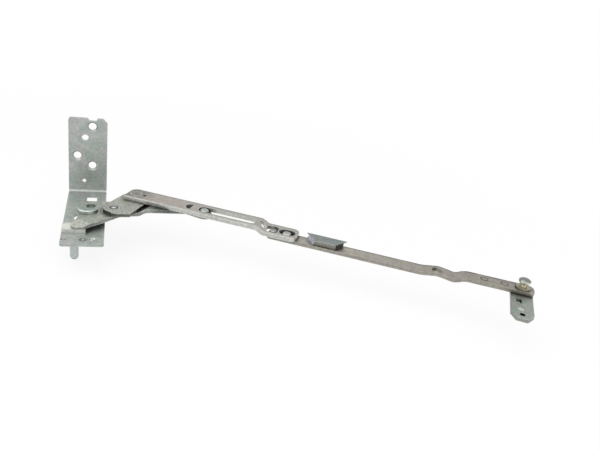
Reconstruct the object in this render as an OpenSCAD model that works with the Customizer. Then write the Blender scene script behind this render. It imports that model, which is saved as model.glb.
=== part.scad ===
// Scissor stay for a tilting and turning window sash.
// A corner bracket screws to the frame. Two levers form an open scissor on it,
// and the long arm that they swing out carries the sash on a stud and a hanging tab.
// Millimetres, Z up. The origin is the locating pin's axis at the underside of the bracket.

/* [Corner bracket] */

// Width of the bracket
bracket_w = 25; // [24:0.5:30]
// Height of the leg above the base plate
leg_h = 52.7; // [52:0.5:70]
// Length of the base plate in front of the leg
plate_len = 80.7; // [80:0.5:90]
// Sheet thickness of the bracket
bracket_t = 2; // [1.6:0.1:2.4]
// Inside radius of the bend
bend_r = 2; // [1:0.5:3]
// Screw holes in the leg
screw_d = 5.1; // [4.4:0.1:5.4]

/* [Locating pin] */

// Diameter of the locating pin
pin_d = 5.2; // [4:0.1:6]
// How far the pin stands out below the bracket
pin_drop = 18.5; // [10:0.5:25]

/* [Scissor levers] */

// Thickness of the lever and arm sheet
lever_t = 2.4; // [2:0.1:2.8]
// Free space between two levers that slide over each other
lever_gap = 0.1; // [0.05:0.05:0.2]
// Distance from the main pivot to the scissor rivet
crank_len = 16; // [15.5:0.25:17]
// Distance from the scissor rivet to the arm's rivet
upper_len = 23.4; // [22.5:0.1:24]
// Diameter of the main pivot's disc
disc_d = 12.7; // [11.5:0.1:13]

/* [Arm] */

// Width of the slotted link
link_w = 15.7; // [15:0.1:17]
// Width of the long slot
slot_w = 7.7; // [7:0.1:8.5]
// Width of the long bar
bar_w = 9.9; // [9:0.1:12]
// Distance along the arm from its pivot to the stud
stud_reach = 257; // [240:1:300]

/* [Stud and tab] */

// Diameter of the stud's head
stud_head_d = 7.4; // [6.6:0.1:8.6]
// Diameter of the stud's stem
stud_stem_d = 4; // [3.6:0.1:4.4]
// Width of the hanging tab
tab_w = 13.1; // [12:0.1:14]
// Length of the tab from the stud to its tip
tab_len = 34; // [33:0.5:40]

/* [Fits] */

// Radial clearance where a piece turns on a rivet
running_fit = 0.05; // [0.02:0.01:0.1]
// Radial clearance where a rivet is seated for good
seat_fit = 0.02; // [0.01:0.01:0.04]

/* [Hidden] */

$fn = 64;
cut = 1;

// Levels of the stacked sheets, counted from the top of the base plate
pitch = lever_t + lever_gap;
function level(n) = n * pitch;

// Places on the bracket, from its left edge, the leg's front face and the plate's top
pin_at = [7.2, -61.3];
pivot_at = [14.2, -43.5];
socket_at = pivot_at + [1.9, 2.0];
leg_screw_x = 15.4;
upper_screw_z = leg_h - 5.6;
lower_screw_z = 19.4;
side_screw_at = [5.7, 26.3];
plain_hole_at = [10.7, 39.2];
diamond_at = [10.1, 7.9];
countersink_d = screw_d + 1.9;
plain_hole_d = 4.4;
diamond_side = 2.5;
plate_hole_at = [17, 5.7 - plate_len];
plate_hole_d = 4;
pin_seat_d = pin_d - 1;

// The scissor at rest
crank_angle = 1;
upper_angle = 51.8;
arm_angle = -28.5;
scissor_at = pivot_at + crank_len * [cos(crank_angle), sin(crank_angle)];
arm_at = scissor_at + upper_len * [cos(upper_angle), sin(upper_angle)];
slide_u = 49.2;
slide_at = arm_at + slide_u * [cos(arm_angle), sin(arm_angle)];

// Rivets and pins
journal_d = 9;
eccentric_shank_d = 6;
eccentric_foot_d = eccentric_shank_d + 2.4;
bar_shank_d = 3.6;
washer_t = 0.8;
scissor_rivet_d = 5.6;
scissor_head_d = 8.2;
arm_rivet_d = 5;
arm_head_d = 7.3;
slide_pin_d = 5.6;
head_sink = 0.8;

// The lower lever bends up across this line before the slide pin's end
bend_at = [40, -53.7];
bend_turn = 59;
lower_end_r = 5;

// Places along the arm, from its pivot
link_start = -5.6;
step_start = 87.5;
step_end = 91.5;
link_end = 114;
slot_end = 85.5;
first_opening_u = 40;
clamp_u = 97.6;
joint_u = 106.6;
bar_start = 94.2;
bar_z = level(2) - lever_t;
wave_peak = stud_reach - 51.5;
wave_rise = 1.7;
bar_end = stud_reach + 7;
bar_end_w = bar_w + 0.4;
bar_offset = -0.4;
block_u = 119.2;
block_far = 4.9;
block_near = -4.1;
block_skew = 7.4;
rivet_inner_u = stud_reach - 23.3;
rivet_outer_u = stud_reach - 11;
bar_rivet_d = 4;

// The tab hangs from the stud, a little off square
tab_lean = -93.4;
tab_z = bar_z;
tab_foot_t = 0.9;
tab_hole_at = [23.6, -0.9];
tab_hole_d = 2.8;

// Frames of the drawing

module in_bracket() {
  translate([-pin_at.x, -pin_at.y, bracket_t]) children();
}

module in_arm() {
  in_bracket() translate([arm_at.x, arm_at.y, 0]) rotate(arm_angle) children();
}

module at(p, z = 0) {
  translate([p.x, p.y, z]) children();
}

// Shared shapes

// A flat strap with two round ends joined by their outer tangents
module strap(a, ra, b, rb) {
  turn = atan2(b.y - a.y, b.x - a.x);
  lean = acos((ra - rb) / norm(b - a));
  up = [cos(turn + lean), sin(turn + lean)];
  down = [cos(turn - lean), sin(turn - lean)];
  translate(a) circle(r = ra);
  translate(b) circle(r = rb);
  polygon([a + ra * up, a + ra * down, b + rb * down, b + rb * up]);
}

// A rectangle from corner to corner with four corner radii, from low left round to high left
module rounded_box(low, high, r) {
  difference() {
    translate(low) square(high - low);
    corner_bite(low, 0, r[0]);
    corner_bite([high.x, low.y], 90, r[1]);
    corner_bite(high, 180, r[2]);
    corner_bite([low.x, high.y], 270, r[3]);
  }
}

// What a rounded corner loses, for a corner that opens up and right before it is turned
module corner_bite(p, turn, r) {
  if (r > 0) translate(p) rotate(turn) difference() {
    translate([-cut, -cut]) square(r + cut);
    translate([r, r]) circle(r = r);
  }
}

// A point just inside the rim of a round, where a straight edge meets it
function rim(centre, r, turn) = centre + 0.985 * r * [cos(turn), sin(turn)];

function unit(v) = v / norm(v);
function edge_normal(line, i) = unit([line[i].y - line[i + 1].y, line[i + 1].x - line[i].x]);
function side_step(line, i) =
  i == 0 ? edge_normal(line, 0) :
  i == len(line) - 1 ? edge_normal(line, i - 1) :
  (edge_normal(line, i - 1) + edge_normal(line, i))
    / (1 + edge_normal(line, i - 1) * edge_normal(line, i));

// A bend line with each inner corner eased by two small turns
function eased(line, r) = [
  for (i = [0 : len(line) - 1])
    let (inner = i > 0 && i < len(line) - 1)
    each (inner ? [
      line[i] + r * unit(line[i - 1] - line[i]),
      line[i] + r / 4 * (unit(line[i - 1] - line[i]) + unit(line[i + 1] - line[i])),
      line[i] + r * unit(line[i + 1] - line[i])
    ] : [line[i]])
];

// The edge view of a bent sheet, drawn from the line of its lower face
module sheet_section(line, thick) {
  upper = [for (i = [len(line) - 1 : -1 : 0]) line[i] + thick * side_step(line, i)];
  polygon(concat(line, upper));
}

// A sheet cut to a plan outline and bent along its length
module bent_sheet(line, thick, half_w) {
  top = max([for (p = line) p.y]) + 2 * thick;
  low = min([for (p = line) p.y]) - thick;
  intersection() {
    translate([0, 0, low]) linear_extrude(top - low) children();
    translate([0, half_w, 0]) rotate([90, 0, 0])
      linear_extrude(2 * half_w) sheet_section(line, thick);
  }
}

module bore(p, d, z = -20, h = 60) {
  translate([p.x, p.y, z]) cylinder(d = d, h = h);
}

// Corner bracket

module corner_bracket() {
  color("#8d938c") in_bracket() difference() {
    bracket_sheet();
    leg_cuts();
    plate_cuts();
  }
}

// The bent sheet, with its bend drawn as true arcs
module bracket_sheet() {
  intersection() {
    rotate([90, 0, 90]) linear_extrude(bracket_w) bracket_section();
    bracket_outline();
  }
}

module bracket_section() {
  bend = [-bend_r, bend_r];
  translate([0, bend_r]) square([bracket_t, leg_h - bend_r]);
  translate([-plate_len, -bracket_t]) square([plate_len - bend_r, bracket_t]);
  intersection() {
    difference() {
      translate(bend) circle(r = bend_r + bracket_t);
      translate(bend) circle(r = bend_r);
    }
    translate([-bend_r, -bracket_t]) square([bend_r + bracket_t, bend_r + bracket_t]);
  }
}

// The blank's outline, seen from the front for the leg and from above for the plate
module bracket_outline() {
  intersection() {
    translate([0, bracket_t + cut, 0]) rotate([90, 0, 0])
      linear_extrude(plate_len + bracket_t + 2 * cut) leg_outline();
    translate([0, 0, -bracket_t - cut]) linear_extrude(leg_h + bracket_t + 2 * cut)
      rounded_box([0, -plate_len], [bracket_w, bracket_t], [2, 1.2, 0, 0]);
  }
}

module leg_outline() {
  chamfer = 2.9;
  difference() {
    rounded_box([0, -bracket_t], [bracket_w, leg_h], [0, 0, 0, 1.8]);
    translate([bracket_w, leg_h]) rotate(45) square(chamfer * sqrt(2), center = true);
    top_notch();
  }
}

module top_notch() {
  depth = 1.7;
  polygon([
    [12.2, leg_h + cut], [12.2, leg_h], [13.3, leg_h - depth],
    [17.8, leg_h - depth], [18.6, leg_h], [18.6, leg_h + cut]
  ]);
}

module leg_cuts() {
  leg_screw([leg_screw_x, upper_screw_z]);
  leg_screw([leg_screw_x, lower_screw_z]);
  leg_screw(side_screw_at);
  leg_bore(plain_hole_at, plain_hole_d);
  leg_mark([21.6, 32.9], [0.5, 1.6]);
  translate([diamond_at.x, bracket_t + cut, diamond_at.y]) rotate([90, 0, 0])
    linear_extrude(bracket_t + 2 * cut) rotate(45) square(diamond_side, center = true);
}

module leg_bore(p, d) {
  translate([p.x, bracket_t + cut, p.y]) rotate([90, 0, 0])
    cylinder(d = d, h = bracket_t + 2 * cut);
}

// A screw hole countersunk from the front of the leg
module leg_screw(p) {
  sink = (countersink_d - screw_d) / 2;
  leg_bore(p, screw_d);
  translate([p.x, sink, p.y]) rotate([90, 0, 0])
    cylinder(d1 = screw_d, d2 = screw_d + 4 * sink, h = 2 * sink);
}

module leg_mark(p, size) {
  translate([p.x, 0.3, p.y]) rotate([90, 0, 0])
    linear_extrude(cut) square(size, center = true);
}

module plate_cuts() {
  through() rounded_box([12.5, -19.5], [19, -6.5], [0.4, 0.4, 0.4, 0.4]);
  through() strap([8.5, -40.2], 2.4, [8.5, -49.5], 2.4);
  plate_bore(plate_hole_at, plate_hole_d);
  plate_bore(pin_at, pin_seat_d + 2 * seat_fit);
  at(pin_at) plate_cone(pin_d + 2 * seat_fit, pin_seat_d + 2 * seat_fit, cut);
  plate_bore(socket_at, eccentric_shank_d + 2 * running_fit);
  at(socket_at)
    plate_cone(eccentric_foot_d + 2 * running_fit, eccentric_shank_d + 2 * running_fit, cut);
  plate_dimple([12.8, 5.3 - plate_len], 2.9);
  plate_dimple([1.9, 5.7 - plate_len], 2.2);
}

module through() {
  translate([0, 0, -bracket_t - cut]) linear_extrude(bracket_t + 2 * cut) children();
}

module plate_bore(p, d) {
  bore(p, d, -bracket_t - cut, bracket_t + 2 * cut);
}

// A cone that closes at 45 degrees, upwards from the plate's underside
module plate_cone(wide, narrow, below) {
  deep = (wide - narrow) / 2;
  translate([0, 0, -bracket_t - below])
    cylinder(d1 = wide + 2 * below, d2 = narrow, h = deep + below);
}

module plate_dimple(p, d) {
  deep = 0.5;
  translate([p.x, p.y, -deep]) cylinder(d1 = d - 1, d2 = d + 2, h = 3 * deep);
}

module pin_pad() {
  color("#969b93") in_bracket() difference() {
    linear_extrude(lever_t) rounded_box([0, -66.5], [14, -56.5], [3, 0.4, 0.4, 3]);
    bore(pin_at, pin_seat_d + 2 * seat_fit);
  }
}

// The pin hangs from a thinner seat that is riveted through the plate and the pad
module locating_pin() {
  neck = (pin_d - pin_seat_d) / 2;
  color("#a9afaa") rotate_extrude() {
    translate([0, -cut]) square([pin_seat_d / 2, cut + bracket_t + lever_t]);
    polygon([[0, 0], [pin_d / 2, 0], [pin_seat_d / 2, neck], [0, neck]]);
    pin_section(pin_d / 2);
  }
}

// Half of the pin below the plate, with its round tip
module pin_section(r) {
  difference() {
    translate([0, -pin_drop]) square([r, pin_drop]);
    translate([0, -pin_drop]) difference() {
      translate([-cut, -cut]) square([r + 2 * cut, r + cut]);
      translate([0, r]) circle(r = r);
    }
  }
}

module pivot_spacer() {
  color("#8a8f88") in_bracket() difference() {
    at(socket_at) cylinder(d = 10, h = lever_t);
    bore(socket_at, eccentric_shank_d + 2 * running_fit);
  }
}

// The adjuster: its shank turns in the bracket, its journal sits off that axis in the lever
module pivot_eccentric() {
  socket_d = 6.3;
  socket_deep = 2;
  color("#9aa29c") in_bracket() difference() {
    union() {
      at(socket_at) plate_cone(eccentric_foot_d, eccentric_shank_d, 0);
      at(socket_at, -bracket_t) cylinder(d = eccentric_shank_d, h = bracket_t + level(1));
      at(pivot_at, lever_t) cylinder(d = journal_d, h = level(1) + lever_gap);
      at(pivot_at, level(2) - lever_gap + lever_gap / 2) disc(disc_d, lever_t - lever_gap / 2);
    }
    at(socket_at, level(3) - lever_gap - socket_deep)
      cylinder(d = socket_d, h = socket_deep + cut, $fn = 6);
  }
}

// A disc with a softened upper rim
module disc(d, h) {
  rim = 0.5;
  cylinder(d = d, h = h - rim);
  translate([0, 0, h - rim]) cylinder(d1 = d, d2 = d - 2 * rim, h = rim);
}

// Lower lever: hub, tail and scissor eye on the first level, a joggle, then the slide pin's end

module lower_lever() {
  rise_from = 1.1;
  rise_to = 4.5;
  side = [
    [-90, level(1)], [rise_from, level(1)], [rise_to, level(2)], [90, level(2)]
  ];
  color("#84897f") in_bracket() difference() {
    at(bend_at) rotate(bend_turn - 90) bent_sheet(eased(side, 1.3), lever_t, 90)
      rotate(90 - bend_turn) translate(-bend_at) lower_outline();
    bore(pivot_at, journal_d + 2 * running_fit);
    bore(scissor_at, scissor_rivet_d + 2 * seat_fit);
    tail_bevel();
  }
}

module lower_outline() {
  tail_at = [10.3, -61.5];
  tail_r = 5.2;
  hub_r = 7.2;
  translate(tail_at) circle(r = tail_r);
  translate(pivot_at) circle(r = hub_r);
  translate(slide_at) circle(r = lower_end_r);
  polygon([
    rim(tail_at, tail_r, 118), rim(tail_at, tail_r, 305), [24.3, -56.7], [35.4, -46.2],
    [42.7, -45.8], [49, -45.4], [76, -45.4], rim(slide_at, lower_end_r, 240),
    rim(slide_at, lower_end_r, 65), [80, -37.5], [51, -29.5], [34, -29.5], [27, -28.3],
    [9, -28.3], rim(pivot_at, hub_r, 170), rim(pivot_at, hub_r, 233)
  ]);
}

// The tail's top slopes away towards its tip
module tail_bevel() {
  slope = 8;
  translate([10, -57, level(2) - lever_gap]) rotate(-35) rotate([slope, 0, 0])
    translate([-30, -30, 0]) cube([60, 30, 10]);
}

module scissor_rivet() {
  color("#9fa6a0") in_bracket() {
    at(scissor_at, level(1)) cylinder(d = scissor_rivet_d, h = level(1) + lever_t);
    at(scissor_at, level(2) + lever_t - head_sink) flush_head(scissor_head_d);
  }
}

// A flush head with a ring pressed into it
module flush_head(d) {
  ring = 0.25;
  difference() {
    cylinder(d = d, h = head_sink);
    translate([0, 0, head_sink - ring]) difference() {
      cylinder(d = 0.72 * d, h = cut);
      translate([0, 0, -cut]) cylinder(d = 0.5 * d, h = 3 * cut);
    }
  }
}

// Upper lever, from the scissor rivet to the arm's rivet

module upper_lever() {
  color("#888d83") in_bracket() difference() {
    at([0, 0], level(2)) linear_extrude(lever_t) upper_outline();
    bore(scissor_at, scissor_rivet_d + 2 * running_fit);
    at(scissor_at, level(2) + lever_t - head_sink)
      cylinder(d = scissor_head_d + 2 * running_fit, h = cut + head_sink);
    bore(arm_at, arm_rivet_d + 2 * seat_fit);
  }
}

module upper_outline() {
  eye_r = 6.8;
  end_r = 8;
  translate(scissor_at) circle(r = eye_r);
  translate(arm_at) circle(r = end_r);
  polygon([
    rim(scissor_at, eye_r, 147.5), rim(scissor_at, eye_r, 245), [28.8, -51.6],
    [31.6, -53], [40, -52.6], [53.5, -30], rim(arm_at, end_r, -31), rim(arm_at, end_r, 100),
    [38.4, -19.6], [36.5, -20.4]
  ]);
}

module arm_pivot_rivet() {
  color("#9c9f9a") in_bracket() {
    at(arm_at, level(2)) cylinder(d = arm_rivet_d, h = level(1) + lever_t);
    at(arm_at, level(3) + lever_t - head_sink) cylinder(d = arm_head_d, h = head_sink);
  }
}

// Slotted link: the arm's first piece, with its end stepped down onto the bar

module slotted_arm() {
  side = [
    [link_start - 10, level(3)], [step_start, level(3)],
    [step_end, level(2)], [link_end + 10, level(2)]
  ];
  color("#a09c95") in_arm() difference() {
    bent_sheet(eased(side, 1.3), lever_t, 20) link_outline();
    bore([0, 0], arm_rivet_d + 2 * running_fit);
    at([0, 0], level(3) + lever_t - head_sink)
      cylinder(d = arm_head_d + 2 * running_fit, h = cut + head_sink);
  }
}

module link_outline() {
  half = link_w / 2;
  difference() {
    rounded_box([link_start, -half], [link_end, half], [1, 4.5, 4.5, 4.5]);
    translate([6, 0]) circle(d = 2.5);
    half_moon([first_opening_u, 0], 7.8);
    strap([slide_u, 0], slot_w / 2, [slot_end - slot_w / 2, 0], slot_w / 2);
    strap([88.6, 2.6], 1.5, [90.8, -0.8], 1.5);
    rounded_box([clamp_u - 5, -4.7], [clamp_u + 2.9, 4.7], [2.5, 2, 2, 2.5]);
    strap([joint_u - 1.2, 0], 4.1, [joint_u + 1.6, 0], 4.1);
  }
}

// Half of a round, to the left of its centre
module half_moon(p, d) {
  translate(p) intersection() {
    circle(d = d);
    translate([-d, -d]) square([d, 2 * d]);
  }
}

module arm_slide_pin() {
  height = level(1) + 0.1;
  color("#a7aaa6") in_arm() at([slide_u, 0], level(2) + lever_t) disc(slide_pin_d, height);
}

module link_clamp_rivet() {
  color("#a4a7a3") in_arm() bar_stud(clamp_u, 4.8);
}

module link_joint_rivet() {
  color("#a4a7a3") in_arm() bar_stud(joint_u, 5.6);
}

// A rivet that stands up from the bar inside an opening of the link's end
module bar_stud(u, d) {
  at([u, 0], bar_z) cylinder(d = bar_shank_d, h = lever_t);
  at([u, 0], level(2)) disc(d, lever_t - 0.3);
}

// Long bar, with its wave and its step up onto the tab

module long_bar() {
  side = [
    [bar_start - 10, bar_z], [wave_peak - 10, bar_z], [wave_peak, bar_z + wave_rise],
    [wave_peak + 10.5, bar_z], [wave_peak + 17.5, bar_z + pitch], [bar_end + 10, bar_z + pitch]
  ];
  color("#a39e96") in_arm() difference() {
    bent_sheet(eased(side, 1.6), lever_t, 20) bar_outline();
    bore([clamp_u, 0], bar_shank_d + 2 * seat_fit);
    bore([joint_u, 0], bar_shank_d + 2 * seat_fit);
    bore([stud_reach, 0], stud_stem_d + 2 * seat_fit);
    bar_rivet_seat(rivet_inner_u);
    bar_rivet_seat(rivet_outer_u);
  }
}

module bar_outline() {
  half = bar_w / 2;
  end_half = bar_end_w / 2;
  widen = wave_peak + 13;
  difference() {
    union() {
      rounded_box([bar_start, bar_offset - half], [widen + 1, bar_offset + half], [3, 0, 0, 3]);
      rounded_box([widen, -end_half], [bar_end, end_half], [0, 3, 4.2, 0]);
    }
    strap([wave_peak - 1.2, -1.6], 2.6, [wave_peak - 0.2, -1.6], 2.6);
  }
}

module bar_rivet_seat(u) {
  top = bar_z + pitch + lever_t;
  bore([u, 0], bar_rivet_d + 2 * seat_fit);
  at([u, 0], top - 0.4) cylinder(d1 = bar_rivet_d, d2 = bar_rivet_d + 1.6, h = 0.8);
}

module bar_rivet(u) {
  color("#9a978f") in_arm() at([u, 0], bar_z + pitch) cylinder(d = bar_rivet_d, h = lever_t);
}

module bar_rivet_inner() {
  bar_rivet(rivet_inner_u);
}

module bar_rivet_outer() {
  bar_rivet(rivet_outer_u);
}

// Block on the bar: its left end slopes, and a lip overhangs its far side and its right end

module guide_block() {
  height = 3.5;
  lip = 0.7;
  slope = 1.1;
  rest = slope * lip / (height - lip);
  turn = atan2(block_near - block_far, block_skew);
  color("#76808a") in_arm() at([block_u, 0], level(2)) {
    intersection() {
      linear_extrude(height - lip) block_body();
      translate([0, block_far, 0]) rotate([90, 0, turn + 90]) translate([0, 0, -20])
        linear_extrude(60) polygon([[-slope, 0], [60, 0], [60, height], [rest, height]]);
    }
    translate([0, 0, height - lip]) linear_extrude(lip) block_top();
  }
}

module block_top() {
  polygon([
    [0, block_far], [block_skew, block_near], [20.6, block_near], [26.4, block_far]
  ]);
}

// The body in plan, before its left end is cut to its slope
module block_body() {
  near = block_near + 0.2;
  far = block_far - 2.1;
  polygon([[-4, far], [-4, near], [20.6, near], [24.9, far]]);
}

// Stud through the bar's end and the tab, with its washer

module stud_washer() {
  color("#a89c6e") in_arm() difference() {
    at([stud_reach, 0], bar_z + pitch + lever_t) cylinder(d = 9, h = washer_t);
    bore([stud_reach, 0], stud_stem_d + 2 * seat_fit);
  }
}

module mushroom_stud() {
  neck = 2.6;
  base = bar_z + pitch + lever_t + washer_t;
  foot = tab_z - lever_gap - tab_foot_t;
  color("#a3a49c") in_arm() at([stud_reach, 0]) {
    translate([0, 0, foot]) cylinder(d = stud_stem_d + 2.4, h = tab_foot_t);
    translate([0, 0, foot]) cylinder(d = stud_stem_d, h = base + neck + cut - foot);
    translate([0, 0, base + neck]) rotate_extrude() stud_head_section();
  }
}

// Half of the domed head, seen from the side
module stud_head_section() {
  head_t = 3.4;
  r = stud_head_d / 2;
  dome_r = 5.2;
  under = 0.9;
  intersection() {
    polygon([[0, 0], [r - under, 0], [r, under], [r, head_t], [0, head_t]]);
    translate([0, head_t - dome_r]) circle(r = dome_r);
  }
}

module end_tab() {
  color("#8c938c") in_arm() translate([stud_reach, 0, tab_z]) rotate(tab_lean) difference() {
    linear_extrude(lever_t) tab_outline();
    bore([0, 0], stud_stem_d + 2 * running_fit);
    translate([29.6, -0.3, lever_t - 1]) cylinder(d = 3.3, h = cut + 1);
  }
}

// The tab's outline, pointing along X from the stud
module tab_outline() {
  half = tab_w / 2;
  chamfer = 6;
  tip_half = 3.4;
  difference() {
    union() {
      circle(r = half);
      translate([0, -half]) square([tab_len - chamfer, tab_w]);
      polygon([
        [tab_len - chamfer, -half], [tab_len, -tip_half],
        [tab_len, tip_half], [tab_len - chamfer, half]
      ]);
    }
    translate([13.6, -1.9]) square([5, 3.2], center = true);
    translate(tab_hole_at) circle(d = tab_hole_d);
  }
}

corner_bracket();
locating_pin();
pin_pad();
pivot_spacer();
pivot_eccentric();
lower_lever();
scissor_rivet();
upper_lever();
arm_pivot_rivet();
slotted_arm();
arm_slide_pin();
link_clamp_rivet();
link_joint_rivet();
long_bar();
guide_block();
bar_rivet_inner();
bar_rivet_outer();
stud_washer();
mushroom_stud();
end_tab();
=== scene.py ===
# %% [markdown]
# # A window scissor stay, dressed for its picture
# The part is a stay that carries a tilting and turning window sash: a bent corner
# bracket, two crossed levers, a slotted arm and a long bar, all of zinc plated steel.
# The shapes come from the CAD frame. Here they get their finishes, a few pressed rivet
# tails, soft light and the camera that saw the real one.

# %% Load the frame
import math
import bpy
from mathutils import Matrix, Vector


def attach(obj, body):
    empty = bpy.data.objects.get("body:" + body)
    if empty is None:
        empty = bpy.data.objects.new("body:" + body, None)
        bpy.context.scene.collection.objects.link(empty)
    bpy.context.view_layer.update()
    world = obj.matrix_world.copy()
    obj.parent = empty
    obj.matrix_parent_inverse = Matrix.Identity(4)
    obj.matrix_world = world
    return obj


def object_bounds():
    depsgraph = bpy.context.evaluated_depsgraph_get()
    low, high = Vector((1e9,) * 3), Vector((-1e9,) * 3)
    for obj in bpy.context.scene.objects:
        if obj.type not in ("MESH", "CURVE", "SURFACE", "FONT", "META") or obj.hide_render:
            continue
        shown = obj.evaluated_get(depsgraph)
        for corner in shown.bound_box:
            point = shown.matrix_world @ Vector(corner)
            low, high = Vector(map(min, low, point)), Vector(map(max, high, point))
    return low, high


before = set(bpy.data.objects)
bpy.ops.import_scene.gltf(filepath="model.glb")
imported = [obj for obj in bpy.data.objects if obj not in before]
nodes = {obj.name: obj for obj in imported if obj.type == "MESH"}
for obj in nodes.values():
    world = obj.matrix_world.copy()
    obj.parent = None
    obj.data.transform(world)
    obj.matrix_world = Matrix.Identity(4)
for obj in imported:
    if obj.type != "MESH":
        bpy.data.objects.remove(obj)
cad_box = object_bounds()
MM = 0.001
print("CAD nodes:", len(nodes), "box in mm:", [round((b - a) / MM, 1) for a, b in zip(*cad_box)])

# %% [markdown]
# ## Colours and nodes
# Colours are written as sRGB hex values, but shaders work in linear light, so one
# function turns them. A second small function adds any node: its settings are keywords,
# and an input takes a plain value, an output of another node, or just that node, which
# stands for its first output. It makes every node but the one shader that a new
# material already has.

# %% Helpers for every material
def linear(hex_colour):
    parts = [int(hex_colour[i:i + 2], 16) / 255 for i in (1, 3, 5)]
    return [p / 12.92 if p <= 0.04045 else ((p + 0.055) / 1.055) ** 2.4 for p in parts] + [1.0]


def add(tree, kind, inputs=None, **settings):
    made = tree.nodes.new(kind)
    for key, value in settings.items():
        setattr(made, key, value)
    for socket, value in (inputs or {}).items():
        if isinstance(value, bpy.types.Node):
            value = value.outputs[0]
        if isinstance(value, bpy.types.NodeSocket):
            tree.links.new(value, made.inputs[socket])
        else:
            made.inputs[socket].default_value = value
    return made


print("mid grey in linear light:", round(linear("#808080")[0], 3))

# %% [markdown]
# ## Patterns measured in millimetres
# All patterns read Object coordinates, which are metres here. A Mapping node turns them
# into millimetres, so that a noise scale of 1/7 means clouds of 7 mm. Its Texture type
# turns a place before it scales it, and so a stretched pattern lies along its own way.
# Here that is the way of the arm, along which the rolls have drawn faint lines.

# %% Places and noise in millimetres
def millimetres(tree, turn=0.0, centre=(0, 0, 0), stretch=1.0):
    where = add(tree, "ShaderNodeTexCoord").outputs["Object"]
    moved = add(tree, "ShaderNodeVectorMath", {0: where, 1: [-c * MM for c in centre]},
                operation="ADD")
    return add(tree, "ShaderNodeMapping", {"Vector": moved, "Rotation": (0, 0, turn),
               "Scale": (stretch * MM, MM, MM)}, vector_type="TEXTURE")


def noise(tree, size_mm, turn=0.0, stretch=1.0, detail=2.0, roughness=0.55, offset=0.0):
    where = millimetres(tree, turn, (offset, 0, 0), stretch)
    return add(tree, "ShaderNodeTexNoise", {"Vector": where, "Scale": 1 / size_mm,
               "Detail": detail, "Roughness": roughness}).outputs["Fac"]


ARM_TURN = math.radians(-28.5)
print("the arm's drawn lines run at", round(math.degrees(ARM_TURN), 1), "degrees")

# %% [markdown]
# ## From a pattern to a colour
# A pattern is only a number at each place. Map Range picks the part of it that counts and
# makes that a mask, which is 1 where a shade is to show and 0 where not. A shade is then
# painted over the colour below it through the mask. All finishes are such layers.

# %% Clouds, and painting through a mask
def clouds(tree, size_mm, low, high, detail=2.0, offset=0.0):
    """A mask of soft clouds: 0 where the noise is under low, 1 where it is over high."""
    pattern = noise(tree, size_mm, detail=detail, offset=offset)
    return add(tree, "ShaderNodeMapRange", {"Value": pattern, "From Min": low, "From Max": high})


def painted(tree, colour, mask, shade):
    """A colour with a shade, as hex, painted over it where the mask is 1."""
    return add(tree, "ShaderNodeMix", {0: mask, 6: colour, 7: linear(shade)},
               data_type="RGBA").outputs[2]


print("ready: clouds, painting")

# %% [markdown]
# ## Sheared edges
# A stamped sheet is cut by a punch, and its cut walls keep no roll finish; their colour here is
# partly that finish and partly painted light and shade. A wall is where the surface's normal
# points along none of the sheet's face directions, so a mask from the normal finds every wall,
# also round a hole, and it stays with the piece in every pose.

# %% A mask for cut walls
FACE, WALL = 0.55, 0.25    # how much of the normal points along a face direction


def normal_parts(tree):
    normal = add(tree, "ShaderNodeTexCoord").outputs["Normal"]
    return add(tree, "ShaderNodeSeparateXYZ", {0: normal}).outputs


def cut_walls(tree, faces):
    parts = normal_parts(tree)
    flat = 0.0
    for axis in faces:
        size = add(tree, "ShaderNodeMath", {0: parts[axis]}, operation="ABSOLUTE")
        flat = add(tree, "ShaderNodeMath", {0: size, 1: flat}, operation="MAXIMUM")
    return add(tree, "ShaderNodeMapRange", {"Value": flat, "From Min": FACE, "From Max": WALL})


print("a wall is all wall from", round(math.degrees(math.acos(WALL))), "degrees off a face")

# %% [markdown]
# ## The bend, and ends that face one way
# The bracket's bend and its countersinks are painted darker, as shade. On the bend and in the
# countersinks the normal lies between Y and Z, so the product of both parts finds them. The cast
# block's two ends are found by the way they face, and are painted lit and shaded.

# %% Masks from the normal
FLAT, BENT = 0.12, 0.42       # product of two parts of the normal, 0.5 at 45 degrees
ASIDE, TOWARDS = 0.25, 0.6    # how much of the normal points the given way


def turned_over(tree):
    parts = normal_parts(tree)
    both = add(tree, "ShaderNodeMath", {0: parts["Y"], 1: parts["Z"]}, operation="MULTIPLY")
    size = add(tree, "ShaderNodeMath", {0: both}, operation="ABSOLUTE")
    return add(tree, "ShaderNodeMapRange", {"Value": size, "From Min": FLAT, "From Max": BENT})


def facing(tree, direction):
    normal = add(tree, "ShaderNodeTexCoord").outputs["Normal"]
    part = add(tree, "ShaderNodeVectorMath", {0: normal, 1: direction}, operation="DOT_PRODUCT")
    return add(tree, "ShaderNodeMapRange", {"Value": part.outputs["Value"],
               "From Min": ASIDE, "From Max": TOWARDS})


print("masks ready: bend from", FLAT, "to", BENT, "and ends from", ASIDE, "to", TOWARDS)

# %% [markdown]
# ## Rings, and spots
# Where a washer, a disc or the arm's round end turns on the piece below it, it leaves a ring.
# Other rings are painted light and shade: highlights and shadows round rivets, a pivot and the
# upper lever's eye, and highlights in holes. A ring is the distance from the pivot in plan, less
# its radius. A spot is the distance from a point, and it may be stretched along a way; spots
# carry painted shade.

# %% Masks from a distance
CORE = 0.25    # the share of a spot's size that is fully covered


def ring(tree, centre, radius, width):
    """1 on a ring round a centre in plan, 0 beyond its width; in mm."""
    place = add(tree, "ShaderNodeSeparateXYZ", {0: millimetres(tree, 0.0, (*centre, 0))}).outputs
    level = add(tree, "ShaderNodeCombineXYZ", {"X": place["X"], "Y": place["Y"]})
    far = add(tree, "ShaderNodeVectorMath", {0: level}, operation="LENGTH").outputs["Value"]
    beside = add(tree, "ShaderNodeMath", {0: far, 1: radius}, operation="SUBTRACT")
    off = add(tree, "ShaderNodeMath", {0: beside}, operation="ABSOLUTE")
    return add(tree, "ShaderNodeMapRange", {"Value": off, "From Min": width, "From Max": 0.0})


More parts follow.
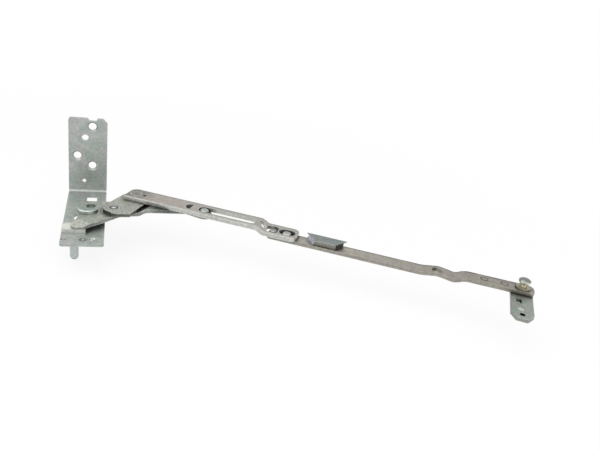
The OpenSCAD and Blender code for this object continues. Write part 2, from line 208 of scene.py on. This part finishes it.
def spot(tree, centre, size, turn, stretch):
    """1 near a point and 0 beyond size, in mm."""
    where = millimetres(tree, turn, centre, stretch)
    far = add(tree, "ShaderNodeVectorMath", {0: where}, operation="LENGTH").outputs["Value"]
    return add(tree, "ShaderNodeMapRange", {"Value": far, "From Min": size,
               "From Max": CORE * size})


print("masks ready: rings, and spots with a core of", CORE)

# %% [markdown]
# ## Painted crevice shade, and painted edges
# Where steel stands close to steel, the colour is darkened as painted shade. Ambient Occlusion
# measures that from the shapes themselves, so it fits each hole and lap without any drawing. The
# edges are painted bright, as wear and painted highlight: a Bevel node gives the normal that a
# rounded edge would have, and where it differs from the true one there is an edge. Edges that
# look to the back are painted darker, as shade.

# %% Masks from the shape
TO_OPEN = 0.6                # openness between a closed crevice and an open face
ALIKE, APART = 0.98, 0.8     # how alike the rounded and the true normal are
BACK = 0.15                  # how much of an edge's normal points to the back


def crevice(tree, reach_mm, darkest, closed):
    """A painted shade factor that falls from 1 in the open to darkest where other steel stands
    close.
    """
    near = add(tree, "ShaderNodeAmbientOcclusion", {"Distance": reach_mm * MM}, samples=12)
    return add(tree, "ShaderNodeMapRange", {"Value": near.outputs["AO"], "From Min": closed,
               "From Max": closed + TO_OPEN, "To Min": darkest})


def edge(tree, reach_mm):
    """1 along sharp edges, and how far such an edge looks to the back."""
    soft = add(tree, "ShaderNodeBevel", {"Radius": reach_mm * MM}, samples=6)
    true = add(tree, "ShaderNodeNewGeometry").outputs["Normal"]
    same = add(tree, "ShaderNodeVectorMath", {0: soft, 1: true}, operation="DOT_PRODUCT")
    rim = add(tree, "ShaderNodeMapRange", {"Value": same.outputs["Value"],
              "From Min": ALIKE, "From Max": APART})
    back = add(tree, "ShaderNodeSeparateXYZ", {0: soft}).outputs["Y"]
    return rim, add(tree, "ShaderNodeMapRange", {"Value": back, "From Max": BACK})


print("an edge shows from", round(math.degrees(math.acos(ALIKE))), "degrees of rounding")

# %% [markdown]
# ## Places on the stay
# Marks sit where something turns, is riveted or is pressed, so their places are the
# pivots and holes of the part, in mm, in plan. Places on the arm are counted along it
# from its pivot.

# %% Pivots, holes and dimples
PIVOT = (7.0, 17.8)
SCISSOR = (23.0, 18.1)
ARM_PIVOT = (37.47, 36.47)
LEVER_TAIL = (3.1, -0.2)
BESIDE_PLATE_HOLE = (11.3, -12.8)
DIMPLES = ((5.6, -14.1), (-5.3, -13.7))
ARM_WAY = (math.cos(ARM_TURN), math.sin(ARM_TURN), 0.0)


def along_arm(u):
    """A place in plan, u mm along the arm from its pivot."""
    return (ARM_PIVOT[0] + u * ARM_WAY[0], ARM_PIVOT[1] + u * ARM_WAY[1])


WAVE_HOLE = along_arm(203.2)
BAR_RIVETS = (along_arm(233.7), along_arm(246))
STUD = along_arm(257)
TAB_HOLE = (STUD[0] - 13.2, STUD[1] - 19.6)
print("stud at", [round(v, 1) for v in STUD], "mm")

# %% [markdown]
# ## Zinc plated steel
# The metal is steel with a thin zinc coat, passivated in a bath that leaves green, violet
# and straw tints. It is a metal all through, so Metallic is 1, the IOR stays at its
# default and the base colour carries the look. What all plated pieces share is one table
# of values, and each piece states only what differs on it.

# %% What plated pieces share, lengths in mm
ZINC = {
    "faces": ("Z",),     # the sheet's face directions; any other normal is a cut wall
    "turn": 0.0,         # the way of the roll lines
    "drawn": 0.05,       # their strength
    "rough": 0.42,       # satin
    "grain_mm": 1.3,     # coarser than real grain, so that it shows in the picture
    "speckle": 0.2,      # the grain's strength
    "cloud_mm": 7.0,     # the tinted clouds
    "seed": 0.0,         # another stretch of the same noise
    "grime": 0.25,       # how dark the painted shade in a closed crevice gets
    "reach_mm": 2.6,     # how near other steel has to stand
    "closed": 0.25,      # the openness that counts as closed
    "edge_mm": 1.0,      # the width of an edge painted worn and highlit
    "worn": "#d6d7d3",   # its colour to the front, wear and painted highlight
    "back": "#6c6b66",   # and to the back, painted shade
    "bend": None,        # the painted shade of a bend
    "changes": (),       # colour, X along or Y across the arm, start, full; some are painted light and shade
    "rubs": (),          # centre, radius, width, colour; rubbed rings and rings of painted light and shade
    "scuffs": (),        # centre, size, colour
    "ends": (),          # way they face, colour; painted light and shade
    "stains": (),        # centre, size, colour, turn, stretch; painted shade
    "glints": (),        # centre, radius, width; painted highlights
}
print("values that plated pieces share:", len(ZINC))

# %% [markdown]
# ## The colour of the bath
# Two sets of soft clouds carry the bath's tints. Between them, the colour may change along or
# across the arm, as it does on a long strip; some of these changes are painted light and shade.
# Cut walls come last, because the punch made them, in a colour that is partly their sheared
# finish and partly painted light and shade, and then the bend's painted shade. Each pattern
# starts at its own place in the noise, so that no two of them look alike.

# %% Colour of a piece before it is worn
TINT_CLOUDS, SECOND_CLOUDS = (0.45, 0.68), (0.5, 0.72)    # noise at their rim and core
SMALLER = 0.6                                             # second clouds against the first
SECOND_START, FLECK_START, BLOTCH_START = 40, 7, 80       # mm


def bath_colour(tree, face, tint, second, wall, own):
    size, seed = own["cloud_mm"], own["seed"]
    colour = painted(tree, linear(face), clouds(tree, size, *TINT_CLOUDS, offset=seed), tint)
    # Changes along or across the arm; some are painted highlight and painted shade.
    for shade, way, start, full in own["changes"]:
        where = millimetres(tree, own["turn"], (*ARM_PIVOT, 0))
        place = add(tree, "ShaderNodeSeparateXYZ", {0: where}).outputs[way]
        reached = add(tree, "ShaderNodeMapRange", {"Value": place, "From Min": start,
                      "From Max": full})
        colour = painted(tree, colour, reached, shade)
    others = clouds(tree, size * SMALLER, *SECOND_CLOUDS, offset=seed + SECOND_START)
    colour = painted(tree, colour, others, second)
    # Cut walls: partly their sheared finish, partly painted light and shade.
    colour = painted(tree, colour, cut_walls(tree, own["faces"]), wall)
    # The bend's painted shade.
    if own["bend"]:
        colour = painted(tree, colour, turned_over(tree), own["bend"])
    return colour


print("tint clouds of", ZINC["cloud_mm"], "and", round(ZINC["cloud_mm"] * SMALLER, 1), "mm")

# %% [markdown]
# ## Wear and painted light
# Rings are rubbed where pieces turn, and other rings are painted highlights and shadows. Scuffs
# are broken up by flecks of 1.5 mm, a block's ends are painted lit and shaded by the way they
# face, and the edges are painted bright to the front, as wear and highlight, and darker to the
# back, as shade.

# %% Colour of a piece after wear and painted light
EDGE_WEAR = 0.75       # how strongly an edge is painted worn and highlit
FLECK_MM = 1.5
FLECKS = (0.46, 0.6)


def worn_colour(tree, colour, own):
    # Rubbed rings, and rings of painted highlight and shade.
    for centre, radius, width, shade in own["rubs"]:
        colour = painted(tree, colour, ring(tree, centre, radius, width), shade)
    for centre, size, shade in own["scuffs"]:
        flecks = clouds(tree, FLECK_MM, *FLECKS, detail=3.0, offset=own["seed"] + FLECK_START)
        patch = add(tree, "ShaderNodeMath", {0: ring(tree, centre, 0.0, size), 1: flecks},
                    operation="MULTIPLY")
        colour = painted(tree, colour, patch, shade)
    # The block's ends: painted light and painted shade, by the way they face.
    for direction, shade in own["ends"]:
        colour = painted(tree, colour, facing(tree, direction), shade)
    # Edges: wear and painted highlight to the front, painted shade to the back.
    rim, behind = edge(tree, own["edge_mm"])
    rubbed = painted(tree, linear(own["worn"]), behind, own["back"])
    strong = add(tree, "ShaderNodeMath", {0: rim, 1: EDGE_WEAR}, operation="MULTIPLY")
    return add(tree, "ShaderNodeMix", {0: strong, 6: colour, 7: rubbed},
               data_type="RGBA").outputs[2]


# The strength of the edges' painted wear and highlight.
print("scuffs in flecks of", FLECK_MM, "mm, edges rubbed", EDGE_WEAR)

# %% [markdown]
# ## Light and dark on the skin
# A pickled and plated skin is never even. A fine grain, blotches of 3 mm and the rolls' lines,
# 0.9 mm apart and drawn out twenty times, make it a little lighter and darker, and a painted
# shade darkens it in its crevices. Spots of painted shade and painted highlights come over all of
# that.

# %% Shade, spots of painted shade and painted highlights
NOISE_LOW, NOISE_HIGH = 0.3, 0.7    # noise seldom leaves this range
BLOTCH_MM, BLOTCH_DEPTH = 3.0, 0.1
LINE_MM, DRAWN_OUT = 0.9, 20.0


def shaded_colour(tree, colour, grain, own):
    seed = own["seed"]
    blotch = noise(tree, BLOTCH_MM, roughness=0.6, offset=seed + BLOTCH_START)
    lines = noise(tree, LINE_MM, turn=own["turn"], stretch=DRAWN_OUT, offset=seed)
    depths = ((grain, own["speckle"]), (blotch, BLOTCH_DEPTH), (lines, own["drawn"]))
    shade = 1.0
    for pattern, depth in depths:
        uneven = add(tree, "ShaderNodeMapRange", {"Value": pattern, "From Min": NOISE_LOW,
                     "From Max": NOISE_HIGH, "To Min": 1 - depth, "To Max": 1 + depth})
        shade = add(tree, "ShaderNodeMath", {0: shade, 1: uneven}, operation="MULTIPLY")
    # Painted shade in crevices, measured by Ambient Occlusion.
    dirt = crevice(tree, own["reach_mm"], own["grime"], own["closed"])
    shade = add(tree, "ShaderNodeMath", {0: shade, 1: dirt}, operation="MULTIPLY")
    scaled = add(tree, "ShaderNodeVectorMath", {0: colour, "Scale": shade}, operation="SCALE")
    colour = scaled.outputs[0]
    # Spots of painted shade.
    for centre, size, stain, turn, stretch in own["stains"]:
        colour = painted(tree, colour, spot(tree, centre, size, turn, stretch), stain)
    # Painted highlights.
    for centre, radius, width in own["glints"]:
        colour = painted(tree, colour, ring(tree, centre, radius, width), "#ffffff")
    return colour


print("blotches of", BLOTCH_MM, "mm, lines", LINE_MM, "mm apart")

# %% [markdown]
# ## The whole finish
# One function puts the layers together. The same grain that makes the colour uneven also
# makes the skin a little rougher and lifts it by 0.03 mm, so that light catches it.

# %% The plated finish
GRAIN_LIFT_MM = 0.03
SMOOTHER, ROUGHER = 0.06, 0.08    # what the grain takes off the roughness and adds to it


def plated(name, face, tint, second, wall, **different):
    own = {**ZINC, **different}
    material = bpy.data.materials.new(name)
    material.use_nodes = True
    tree = material.node_tree
    shader = tree.nodes["Principled BSDF"]
    shader.inputs["Metallic"].default_value = 1.0
    grain = noise(tree, own["grain_mm"], detail=4.0, roughness=0.7, offset=own["seed"])
    colour = bath_colour(tree, face, tint, second, wall, own)
    colour = shaded_colour(tree, worn_colour(tree, colour, own), grain, own)
    coat = add(tree, "ShaderNodeMapRange", {"Value": grain, "From Min": NOISE_LOW,
               "From Max": NOISE_HIGH, "To Min": own["rough"] - SMOOTHER,
               "To Max": own["rough"] + ROUGHER})
    bump = add(tree, "ShaderNodeBump", {"Height": grain, "Strength": 0.4,
               "Distance": GRAIN_LIFT_MM * MM})
    tree.links.new(colour, shader.inputs["Base Color"])
    tree.links.new(coat.outputs[0], shader.inputs["Roughness"])
    tree.links.new(bump.outputs[0], shader.inputs["Normal"])
    return material


print("grain of", ZINC["grain_mm"], "mm, lifted by", GRAIN_LIFT_MM, "mm")

# %% [markdown]
# ## Bracket, pad and tab
# These are cool green grey sheets, and the pad is the palest. The bracket's two dimples have dark
# rings round them, the disc has left a ring on the plate, a painted highlight lies on the wall of
# its plain hole, and its bend and countersinks are painted darker as shade. The tab has a painted
# highlight in its hole and painted crevice shade along the bar's edge.

# %% Finishes of the bracket, its pad and the end tab
# Painted shade on the bend and in the countersinks, and a painted highlight beside the plate
# hole.
bracket_zinc = plated("zinc_plated_sheet_green_grey", "#acb0ac", "#a0aca5", "#afacad", "#b4b6b2",
                      faces=("Y", "Z"), drawn=0.02, seed=3, grime=0.55, bend="#949794",
                      edge_mm=0.7, glints=((BESIDE_PLATE_HOLE, 0.9, 0.9),),
                      rubs=((PIVOT, 8.8, 0.8, "#b4b8b3"), (DIMPLES[0], 1.6, 0.8, "#544d49"),
                            (DIMPLES[1], 1.1, 0.7, "#6f736e")))
pad_zinc = plated("zinc_plated_pad", "#d8dad2", "#d0d6ce", "#d6d3ce", "#c8cac4",
                  drawn=0.02, seed=8, grime=0.9)
# A long reach of painted crevice shade along the bar's edge, and a painted highlight in the hole.
tab_zinc = plated("zinc_plated_tab", "#a2a6a0", "#93a69a", "#a8a59f", "#9a9e96",
                  drawn=0.02, seed=17, grime=0.02, reach_mm=4.6, closed=0.48,
                  glints=((TAB_HOLE, 1.45, 0.2),))
print("finished:", bracket_zinc.name, pad_zinc.name, tab_zinc.name)

# %% [markdown]
# ## The two levers
# The levers are darker, with an olive cast and a coarser speckle. The upper one is rubbed where
# the arm and the lower lever turn on it. The lower one has a painted highlight ring round its
# pivot hub, a painted shadow ring under the upper lever's eye, and a painted shadow and deep
# painted crevice shade where it runs in under the arm.

# %% Finishes of the levers
# The place of the painted shadow that the arm casts on the lower lever, in mm.
UNDER_ARM = (53, 18.6, 10.2)
# Lower lever: a painted highlight ring on its hub, a painted shadow ring under the upper lever's
# eye, and a long reach of painted crevice shade.
lower_zinc = plated("zinc_plated_lever_olive", "#acafa7", "#a4aca1", "#b6b3a9", "#8f918b",
                    drawn=0.02, seed=29, grime=0.55, reach_mm=6.0, closed=0.38,
                    speckle=0.5, grain_mm=0.9,
                    rubs=((PIVOT, 7.0, 0.5, "#bec1bb"), (SCISSOR, 8.2, 0.6, "#6f736a")),
                    stains=((UNDER_ARM, 5.4, "#30383b", math.radians(-12), 2.9),),
                    scuffs=((LEVER_TAIL, 6.0, "#b4b6b0"),))
# The upper lever's dark cut walls are partly painted shade.
upper_zinc = plated("zinc_plated_lever_dark", "#a1a49c", "#92978b", "#a9a69c", "#64665f",
                    drawn=0.03, seed=51, grime=0.12, reach_mm=3.5, closed=0.4,
                    speckle=0.36, grain_mm=1.0,
                    rubs=((ARM_PIVOT, 9.4, 0.6, "#a9a68c"), (SCISSOR, 4.4, 0.5, "#565a54"),
                          (SCISSOR, 5.6, 0.5, "#a9aca5")),
                    scuffs=((SCISSOR, 7.0, "#c6c8c2"),))
print("finished:", lower_zinc.name, upper_zinc.name)

# %% [markdown]
# ## Arm and bar
# Both are a warm grey with lines drawn along them. The arm is darker at its round end, with a
# painted highlight on its near shoulder and a painted shade along its far edge. The bar gets
# darker towards its wave, with a painted shade along its far edge, round its two flush rivets and
# in the wave's hole.

# %% Finishes of the arm and the bar
# Arm: painted highlight on the near shoulder, painted shade along the far edge, and light cut
# walls that are partly painted light.
arm_zinc = plated("zinc_plated_arm_warm", "#a59f98", "#a89c96", "#a19f96", "#bebeb9",
                  turn=ARM_TURN, seed=77, grime=0.12, worn="#dededa",
                  changes=(("#7e7a75", "X", 14, 3), ("#a3a29b", "X", 34, 46),
                           ("#bebeb9", "Y", -5.4, -6.4), ("#8f8c86", "Y", 6.6, 7.2)))
# Bar: painted shade along the far edge, round the two rivets and in the wave's hole.
bar_zinc = plated("zinc_plated_bar_warm", "#a29d94", "#a29a92", "#9b9a90", "#99958d",
                  turn=ARM_TURN, drawn=0.08, seed=91, grime=0.06, closed=0.4,
                  edge_mm=1.8, worn="#aeaba3",
                  changes=(("#979289", "X", 150, 190), ("#918c84", "X", 190, 215),
                           ("#5d5955", "Y", 3.2, 4.0)),
                  rubs=[(place, 2.1, 0.7, "#45413d") for place in BAR_RIVETS],
                  stains=(((*WAVE_HOLE, 8.6), 2.6, "#191613", 0.0, 1.0),))
print("finished:", arm_zinc.name, bar_zinc.name)

# %% [markdown]
# ## Turned rivets and pins
# Rivets and pins are turned from rod and tumbled, so they shine a little more, their grain is
# finer and they have no drawn lines. The punch leaves rings in a rivet's head; on the scissor
# rivet they are painted as a dark ring of shade in its groove, a painted highlight in its middle
# and a painted highlight ring outside.

# %% Finishes of the rivets and pins
def turned(name, face, tint, second, wall, **different):
    rod = {"rough": 0.34, "drawn": 0.0, "grain_mm": 0.8, "cloud_mm": 3.0}
    return plated(name, face, tint, second, wall, **{**rod, **different})


rivet_zinc = turned("turned_steel_rivet_zinc", "#a3a6a3", "#99a29d", "#a8a6a2", "#8f928e",
                    seed=5, grime=0.2)
# Scissor rivet: a painted shade ring in its groove, a painted highlight in its middle and a
# painted highlight ring outside.
ringed_rivet_zinc = turned("scissor_rivet_ringed", "#9da09b", "#93a098", "#a19f9c", "#8b8e8a",
                           seed=6, rubs=((SCISSOR, 2.3, 1.0, "#343834"),
                                         (SCISSOR, 0.0, 1.2, "#ffffff"),
                                         (SCISSOR, 3.5, 0.6, "#b3b6b1")))
arm_rivet_zinc = turned("arm_pivot_rivet_warm", "#7f7b76", "#817c77", "#86837e", "#a09e9a",
                        seed=7, rubs=((ARM_PIVOT, 3.5, 0.35, "#bdb9b3"),))
clamp_rivet_zinc = turned("clamp_rivet_dark", "#868883", "#7f837e", "#8b8a86", "#7b7d79",
                          seed=19, grime=0.2)
pin_zinc = turned("turned_pin_zinc_satin", "#b4bcba", "#abbbb6", "#bbbcb9", "#b6bdbb",
                  rough=0.36, cloud_mm=4.0, seed=9)
print("finished: 4 rivets and the pin")

# %% [markdown]
# ## Disc, stud, washer and block
# The disc over the pivot is greener, the stud's domed head is smooth bare steel, the washer under
# it has the dirty straw colour of yellow passivation, and the block is a blue grey zinc die
# casting, with painted light on its ramp end and painted shade on its far end.

# %% Finishes of the other small pieces
disc_zinc = turned("turned_disc_zinc_green", "#aab1ab", "#9eb2a7", "#b2aeae", "#9ca29b",
                   rough=0.36, cloud_mm=4.0, seed=11, grime=0.72, reach_mm=1.5, worn="#b4b9b4")
stud_steel = turned("turned_stud_steel_domed", "#818480", "#7e837d", "#8d8b82", "#cfccba",
                    rough=0.3, seed=15, grime=0.6)
washer_yellow = turned("yellow_passivated_washer", "#a8a494", "#988b60", "#8a8474", "#a09c90",
                       rough=0.45, cloud_mm=1.6, seed=21, worn="#a8a48f")
# Its ends get painted light and painted shade.
block_cast = plated("zinc_die_casting_blue_grey", "#7f8886", "#768383", "#868784", "#8c8b83",
                    turn=ARM_TURN, rough=0.5, drawn=0.03, cloud_mm=5.0, seed=33, worn="#c9cbca",
                    ends=((tuple(-v for v in ARM_WAY), "#b9bbc4"), (ARM_WAY, "#565550")))
print("finished:", disc_zinc.name, stud_steel.name, washer_yellow.name, block_cast.name)

# %% [markdown]
# ## Dressing the CAD pieces
# A CAD piece keeps its shape and its place. Only the material in its slots is changed.

# %% Which piece gets which finish
finish_of = {
    "corner_bracket": bracket_zinc, "pin_pad": pad_zinc, "locating_pin": pin_zinc,
    "pivot_spacer": disc_zinc, "pivot_eccentric": disc_zinc, "lower_lever": lower_zinc,
    "scissor_rivet": ringed_rivet_zinc, "upper_lever": upper_zinc,
    "arm_pivot_rivet": arm_rivet_zinc, "slotted_arm": arm_zinc, "arm_slide_pin": rivet_zinc,
    "link_clamp_rivet": clamp_rivet_zinc, "link_joint_rivet": rivet_zinc,
    "long_bar": bar_zinc, "guide_block": block_cast, "bar_rivet_inner": bar_zinc,
    "bar_rivet_outer": bar_zinc, "stud_washer": washer_yellow,
    "mushroom_stud": stud_steel, "end_tab": tab_zinc,
}
for name, material in finish_of.items():
    for slot in nodes[name].material_slots:
        slot.material = material
print("dressed", len(finish_of), "CAD nodes")

# %% [markdown]
# ## The rule of a rivet's tail
# The tail of a rivet is dished by the punch that spreads it. Every tail follows one rule:
# its height depends only on the distance from its middle. Two curves hold that rule, one
# for the crown, which falls off at the rim, and one for the dish that the punch leaves.

# %% Crown and dish as curves
CROWN = ((0, 1), (0.7, 1), (0.9, 0.8), (1, 0))
DISH = ((0, 1), (0.3, 0.9), (0.55, 0.0), (1, 0))


def curve_of(tree, share, points):
    node = add(tree, "ShaderNodeFloatCurve", {"Value": share})
    curve = node.mapping.curves[0]
    while len(curve.points) < len(points):
        curve.points.new(0.5, 0.5)
    for point, place in zip(curve.points, points):
        point.location = place
    node.mapping.update()
    return node


def tail_height(tree, given):
    place = add(tree, "GeometryNodeInputPosition")
    away = add(tree, "ShaderNodeVectorMath", {0: place}, operation="LENGTH").outputs["Value"]
    share = add(tree, "ShaderNodeMath", {0: away, 1: given["Radius"]}, operation="DIVIDE")
    up = add(tree, "ShaderNodeMath", {0: curve_of(tree, share, CROWN), 1: given["Height"]},
             operation="MULTIPLY")
    down = add(tree, "ShaderNodeMath", {0: curve_of(tree, share, DISH), 1: given["Dish"]},
               operation="MULTIPLY")
    return add(tree, "ShaderNodeMath", {0: up, 1: down}, operation="SUBTRACT")


print("curves with", len(CROWN), "and", len(DISH), "points")

# %% [markdown]
# ## Sizes as inputs
# The link's tails are smaller than the lever's, so their sizes are inputs of the tree,
# with names. So is the finish, because a made mesh has no material of its own.

# %% Inputs of the tree
def tail_inputs(tree):
    sizes = {"Radius": 2.0 * MM, "Height": 0.3 * MM, "Dish": 0.25 * MM, "Face down": 0.0}
    face = tree.interface
    face.new_socket("Geometry", in_out="INPUT", socket_type="NodeSocketGeometry")
    for label, value in sizes.items():
        socket = face.new_socket(label, in_out="INPUT", socket_type="NodeSocketFloat")
        socket.default_value = value
    face.new_socket("Finish", in_out="INPUT", socket_type="NodeSocketMaterial")
    face.new_socket("Geometry", in_out="OUTPUT", socket_type="NodeSocketGeometry")
    return add(tree, "NodeGroupInput").outputs


print("the tree takes points, four numbers and a finish")

# %% [markdown]
# ## A tree that makes the tails
# One Geometry Nodes tree makes all tails: a flat disc of rings, its points lifted by the
# rule, copied to every place given, made real and dressed.

# %% The tree
SIDES, RINGS = 48, 14


def tail_tree():
    tree = bpy.data.node_groups.new("dished_rivet_tails", "GeometryNodeTree")
    given = tail_inputs(tree)
    disc = add(tree, "GeometryNodeMeshCone", {"Vertices": SIDES, "Side Segments": RINGS,
               "Radius Top": 0.0, "Radius Bottom": given["Radius"], "Depth": 0.0},
               fill_type="NONE")
    merged = add(tree, "GeometryNodeMergeByDistance", {"Geometry": disc, "Distance": 0.001 * MM})
    lift = add(tree, "ShaderNodeCombineXYZ", {"Z": tail_height(tree, given)})
    shaped = add(tree, "GeometryNodeSetPosition", {"Geometry": merged, "Offset": lift})
    half_turn = add(tree, "ShaderNodeMath", {0: given["Face down"], 1: math.pi},
                    operation="MULTIPLY")
    turn = add(tree, "ShaderNodeCombineXYZ", {"X": half_turn})
    copies = add(tree, "GeometryNodeInstanceOnPoints", {"Points": given["Geometry"],
                 "Instance": shaped, "Rotation": turn})
    real = add(tree, "GeometryNodeRealizeInstances", {"Geometry": copies})
    smooth = add(tree, "GeometryNodeSetShadeSmooth", {"Geometry": real})
    done = add(tree, "GeometryNodeSetMaterial", {"Geometry": smooth, "Material": given["Finish"]})
    add(tree, "NodeGroupOutput", {0: done})
    return tree


tails = tail_tree()
print("tail tree inputs:", [s.name for s in tails.interface.items_tree if s.in_out == "INPUT"])

# %% [markdown]
# ## Setting the tails on the stay
# A modifier runs the tree on a mesh of loose points, one for each rivet of a body. The
# evaluated result becomes a plain mesh, because only plain meshes are carried over to
# other programs, and then it rides on its body.

# %% From places to a piece
CROWN_MM, DISH_MM = 0.35, 0.3    # how far a tail stands out, and how deep its dish is


def show(name, data):
    made = bpy.data.objects.new(name, data)
    bpy.context.scene.collection.objects.link(made)
    return made


def rivet_tails(name, places, body, radius):
    """Tails that face down, at (x, y, z) places; all in mm."""
    points = bpy.data.meshes.new(name + "_points")
    points.from_pydata([[v * MM for v in place] for place in places], [], [])
    holder = show(name + "_points", points)
    modifier = holder.modifiers.new("tails", "NODES")
    modifier.node_group = tails
    values = {"Radius": radius * MM, "Height": CROWN_MM * MM, "Dish": DISH_MM * MM,
              "Face down": 1.0, "Finish": rivet_zinc}
    for item in tails.interface.items_tree:
        if item.in_out == "INPUT" and item.name in values:
            modifier[item.identifier] = values[item.name]
    graph = bpy.context.evaluated_depsgraph_get()
    made = bpy.data.meshes.new_from_object(holder.evaluated_get(graph))
    bpy.data.objects.remove(holder)
    piece = show(name, made)
    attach(piece, body)
    print(name, len(made.polygons), "faces on", body)


print("tails stand", CROWN_MM, "mm proud")

# %% [markdown]
# ## Which rivets have a tail
# Only rivets that end in the open below get one: the arm's pivot, under the upper lever,
# and the two rivets that hold the link to the bar. The scissor rivet is flush below, so
# that it can pass over the pad.

# %% The tails
LINK_RIVETS = (along_arm(97.6), along_arm(106.6))
UPPER_LEVER_UNDERSIDE, LINK_UNDERSIDE = 7.0, 4.6    # heights in mm

rivet_tails("arm_pivot_tail", [(*ARM_PIVOT, UPPER_LEVER_UNDERSIDE)],
            "upper_lever", radius=2.4)
rivet_tails("link_rivet_tails", [(*place, LINK_UNDERSIDE) for place in LINK_RIVETS],
            "arm", radius=1.9)

# %% [markdown]
# ## White without more light
# The picture has a plain white ground. More light would bleach the steel, so the floor
# and the world themselves show as white to the camera and in reflections. The Light Path
# node tells which rays see them directly, and which only carry light to the stay.

# %% A test for rays that see
def seen_directly(tree):
    path = add(tree, "ShaderNodeLightPath").outputs
    first = add(tree, "ShaderNodeMath", {0: path["Is Camera Ray"], 1: path["Is Glossy Ray"]},
                operation="MAXIMUM")
    return add(tree, "ShaderNodeMath", {0: first, 1: path["Is Transmission Ray"]},
               operation="MAXIMUM")


print("the same test serves the floor and the world")

# %% [markdown]
# ## A floor that keeps the shadow
# Near the stay the floor is partly matt, which keeps the soft shadow, and that share
# fades out to nothing half a metre away.

# %% The floor's material
WHITE_NEAR = 0.86                 # how much of the floor is plain white near the stay
FADE_FROM, FADE_TO = 0.22, 0.5    # metres from the middle


def floor_material():
    material = bpy.data.materials.new("white_studio_floor")
    material.use_nodes = True
    tree = material.node_tree
    tree.nodes.clear()
    matt = add(tree, "ShaderNodeBsdfDiffuse", {"Color": linear("#f2f2f2")})
    white = add(tree, "ShaderNodeEmission", {"Color": (1, 1, 1, 1), "Strength": 1.0})
    place = add(tree, "ShaderNodeTexCoord").outputs["Object"]
    far = add(tree, "ShaderNodeVectorMath", {0: place}, operation="LENGTH").outputs["Value"]
    fade = add(tree, "ShaderNodeMapRange", {"Value": far, "From Min": FADE_FROM,
               "From Max": FADE_TO, "To Min": WHITE_NEAR})
    part = add(tree, "ShaderNodeMath", {0: seen_directly(tree), 1: fade}, operation="MULTIPLY")
    both = add(tree, "ShaderNodeMixShader", {0: part, 1: matt, 2: white})
    add(tree, "ShaderNodeOutputMaterial", {0: both})
    return material


print("plain white from", FADE_TO, "m on")

# %% [markdown]
# ## Where the floor lies
# It lies just under the lowest piece, so that the shadow joins the stay, and it reaches
# so far that its edge is never seen.

# %% The floor
HALF_FLOOR = 4.0    # metres
GAP_MM = 0.4

low, high = cad_box
ground = low.z - GAP_MM * MM
corners = ((-1, -1), (1, -1), (1, 1), (-1, 1))
mesh = bpy.data.meshes.new("studio_floor")
mesh.from_pydata([(x * HALF_FLOOR, y * HALF_FLOOR, ground) for x, y in corners],
                 [], [(0, 1, 2, 3)])
mesh.materials.append(floor_material())
floor = show("studio_floor", mesh)
print("floor at", round(ground / MM, 1), "mm")

# %% [markdown]
# ## A pale room
# Steel shows what stands round it. The world is white where the camera and reflections
# see it, and a little dimmer as a light, so that pale steel doesn't clip.

# %% World
WORLD_LIGHT = 0.55    # its strength as a light, where 1 is white

world = bpy.data.worlds.new("pale_studio")
bpy.context.scene.world = world
world.use_nodes = True
sky = world.node_tree
sky.nodes.clear()
level = add(sky, "ShaderNodeMapRange", {"Value": seen_directly(sky), "To Min": WORLD_LIGHT})
glow = add(sky, "ShaderNodeBackground", {"Color": (1, 1, 1, 1), "Strength": level})
add(sky, "ShaderNodeOutputWorld", {0: glow})
print("world lights at", WORLD_LIGHT)

# %% [markdown]
# ## Two soft lamps
# A large weak lamp is better here than a small strong one. In a reflection a lamp shows
# with its power divided by its area and by pi, where 1 is white. A small lamp would be far
# above that, and the bend and the countersinks would bleach out.

# %% Lamps
def soft_lamp(name, place, aim, size, power):
    data = bpy.data.lights.new(name, "AREA")
    data.shape, data.size, data.energy = "SQUARE", size, power
    lamp = show(name, data)
    lamp.location = place
    lamp.rotation_mode = "QUATERNION"
    lamp.rotation_quaternion = (Vector(aim) - Vector(place)).to_track_quat("-Z", "Y")
    print(name, round(power / (math.pi * size ** 2), 2), "times white in a reflection")


middle = (low + high) / 2
soft_lamp("overhead_softbox", place=(-0.25, -0.15, 0.75), aim=middle, size=1.2, power=6.0)
soft_lamp("front_softbox", place=(0.5, -0.8, 0.5), aim=middle, size=1.0, power=4.0)

# %% [markdown]
# ## The camera
# The real picture was taken from above and in front, a little turned and tilted. Its
# place and its three angles were solved from the bracket's straight edges, and the lens
# from how fast the long arm shrinks with distance.

# %% Camera
solved_place = (0.0238863, -0.3608340, 0.1771671)
yaw, pitch, roll = (math.radians(a) for a in (-18.40896, 23.94776, 8.94612))
camera_data = bpy.data.cameras.new("camera")
camera_data.sensor_fit = "HORIZONTAL"
camera_data.sensor_width = 36.0
camera_data.lens = 36.84875
camera_data.clip_start = 0.01
camera = show("camera", camera_data)
camera.matrix_world = (Matrix.Translation(solved_place)
                       @ Matrix.Rotation(yaw, 4, "Z")
                       @ Matrix.Rotation(math.pi / 2 - pitch, 4, "X")
                       @ Matrix.Rotation(roll, 4, "Z"))
bpy.context.scene.camera = camera
bpy.context.scene.view_settings.view_transform = "Standard"
print("camera at", [round(v / MM) for v in camera.location], "mm")

# %% [markdown]
# ## The end
# The scene is brought up to date.

bpy.context.view_layer.update()
